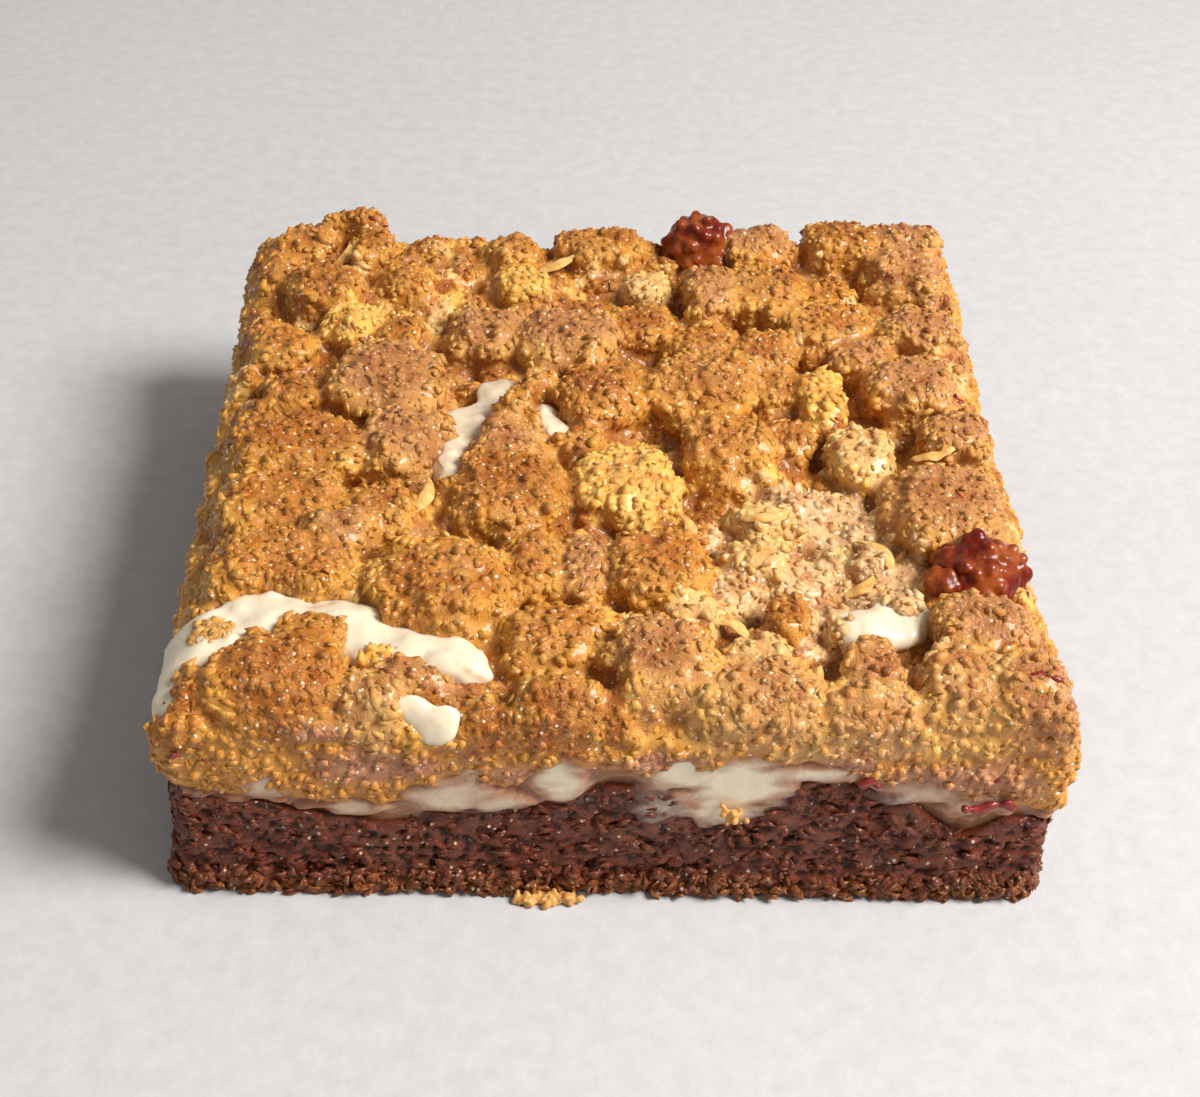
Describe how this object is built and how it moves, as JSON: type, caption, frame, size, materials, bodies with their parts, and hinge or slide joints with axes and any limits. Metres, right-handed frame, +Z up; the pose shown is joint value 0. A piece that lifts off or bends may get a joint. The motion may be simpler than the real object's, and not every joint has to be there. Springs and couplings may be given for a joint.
{
  "type": "crumble-topped blondie square",
  "caption": "Square tray-bake slice: a chocolate base, a seam of white cream and a golden crumble top with raspberry.",
  "frame": {"origin": "under the middle of the square, on the surface that it rests on", "axes": "+Z up through the layers, +X to the right along the cut face in which the cream shows best, which faces -Y"},
  "size_m": [0.082, 0.082, 0.0278],
  "materials": {
    "chocolate": "dense, moist baked chocolate, torn in level flakes at the cut faces",
    "cream": "smooth, soft ivory cream with a wet gloss",
    "crumble": "golden buttery crumble in rough lumps, browned on their crowns",
    "raspberry": "baked raspberry, dark red beads with a wet gloss"
  },
  "bodies": {
    "root": {"chocolate_base": "chocolate", "cream_layer": "cream", "crumble_layer": "crumble", "cream_pool_left": "cream", "cream_pool_middle": "cream", "cream_pool_right": "cream", "raspberry_right": "raspberry", "raspberry_back": "raspberry"}
  },
  "joints": []
}
